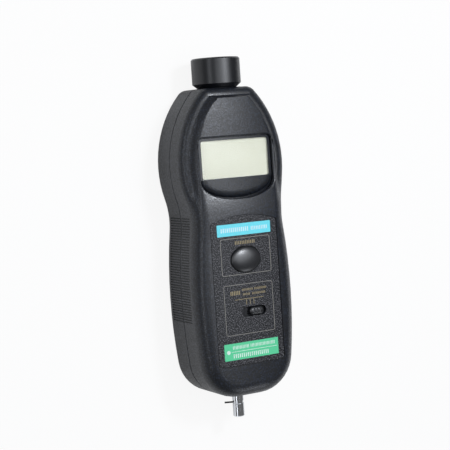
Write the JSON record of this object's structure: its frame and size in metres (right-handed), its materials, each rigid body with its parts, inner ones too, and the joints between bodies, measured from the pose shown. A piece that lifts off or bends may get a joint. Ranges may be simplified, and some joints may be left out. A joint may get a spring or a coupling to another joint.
{
  "type": "laser tachometer",
  "caption": "Handheld tachometer with a waisted black housing, display, laser nose at the top and a contact shaft at the bottom.",
  "frame": {"origin": "on the back, at the middle of the overall box", "axes": "+Z out of the display, +Y towards the nose, +X to the right seen from the front; the instrument lies on its back"},
  "size_m": [0.067, 0.206, 0.0404],
  "materials": {
    "shell_abs": "moulded, fine spark texture",
    "bezel_abs": "moulded, satin",
    "button_abs": "moulded, semi-gloss",
    "nose_abs": "moulded, semi-gloss",
    "panel_sheet": "coarse textured sheet",
    "blue_print": "printed film",
    "green_print": "printed film",
    "clear_acrylic": "polished",
    "red_acrylic": "polished, dyed",
    "lcd_glass": "polarised glass",
    "elastomer": "moulded strip",
    "component_black": "moulded",
    "board_laminate": "solder mask",
    "flex_film": "polyimide film",
    "screw_steel": "zinc plated",
    "chrome_steel": "ground and plated",
    "pin_steel": "blackened",
    "hub_aluminium": "turned",
    "brass": "turned",
    "bronze": "sintered",
    "cell_jacket": "printed jacket, plain"
  },
  "bodies": {
    "housing": {"front_shell": "shell_abs", "rear_shell": "shell_abs", "housing_screws": "screw_steel", "display_bezel": "bezel_abs", "lcd_window": "clear_acrylic", "lcd_panel": "lcd_glass", "zebra_strips": "elastomer", "panel_overlay": "panel_sheet", "blue_field": "blue_print", "green_field": "green_print", "memory_switch": "component_black", "mode_switch": "screw_steel", "measure_switch": "component_black", "main_board": "board_laminate", "board_screws": "screw_steel", "controller_chip": "component_black", "quartz_crystal": "screw_steel", "sensor_ribbon": "flex_film", "encoder_ribbon": "flex_film", "nose_barrel": "nose_abs", "nose_window": "red_acrylic", "optics_plate": "bezel_abs", "receiver_lens": "clear_acrylic", "laser_module": "brass", "sensor_board": "board_laminate", "photodiode": "component_black", "bearing_block": "bezel_abs", "outer_bush": "bronze", "inner_bush": "bronze", "encoder_board": "board_laminate", "photo_interrupter": "component_black", "cell_1": "cell_jacket", "cell_2": "cell_jacket", "cell_3": "cell_jacket", "contact_springs": "screw_steel", "contact_plates": "screw_steel"},
    "memory_key": {"memory_button": "button_abs", "memory_plunger": "button_abs"},
    "mode_slider": {"mode_knob": "button_abs", "mode_lever": "component_black"},
    "measure_key": {"measure_button": "button_abs", "measure_plunger": "button_abs"},
    "rotor": {"contact_shaft": "chrome_steel", "drive_pin": "pin_steel", "retaining_ring": "pin_steel", "disc_hub": "hub_aluminium", "encoder_disc": "component_black"},
    "door": {"battery_door": "shell_abs"}
  },
  "joints": [
    {"name": "memory_press", "type": "slide", "parent": "housing", "child": "memory_key", "axis": [0, 0, -1], "range_m": [0, 0.0008], "stiffness_N_per_m": 600, "springref_m": -0.0008},
    {"name": "mode_select", "type": "slide", "parent": "housing", "child": "mode_slider", "axis": [1, 0, 0], "range_m": [-0.0032, 0]},
    {"name": "measure_press", "type": "slide", "parent": "housing", "child": "measure_key", "axis": [-1, 0, 0], "range_m": [0, 0.0008], "stiffness_N_per_m": 600, "springref_m": -0.0008},
    {"name": "shaft_spin", "type": "hinge", "parent": "housing", "child": "rotor", "pos_m": [0, -0.078, 0.018], "axis": [0, 1, 0], "continuous": true},
    {"name": "door_swing", "type": "hinge", "parent": "housing", "child": "door", "pos_m": [0, -0.0609, 0.00025], "axis": [-1, 0, 0], "range_deg": [0, 75]}
  ]
}
